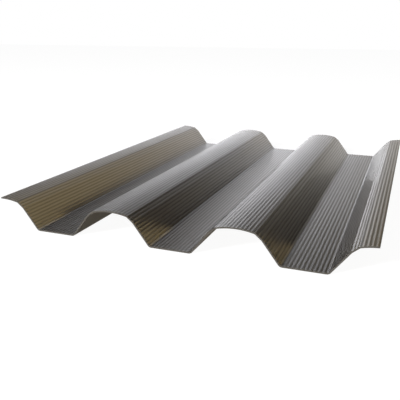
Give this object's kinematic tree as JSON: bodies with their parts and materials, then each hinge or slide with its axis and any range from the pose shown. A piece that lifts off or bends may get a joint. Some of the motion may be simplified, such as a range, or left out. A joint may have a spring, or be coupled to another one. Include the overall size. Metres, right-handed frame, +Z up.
{
  "type": "trapezoidal plastic sheet",
  "caption": "Clear smoke-tinted plastic roofing sheet with trapezoidal waves, arched crowns, flat valleys and fine ribs along its top face.",
  "frame": {"origin": "middle of the sheet's bounding box in X and Y, on the plane that the valleys rest on", "axes": "+Y along the waves, +X across them, +Z up from the valleys to the crowns"},
  "size_m": [0.2272, 0.3, 0.019],
  "materials": {
    "smoke_plastic": "gloss, see-through, smoke brown"
  },
  "bodies": {
    "root": {"profiled_sheet": "smoke_plastic"}
  },
  "joints": []
}
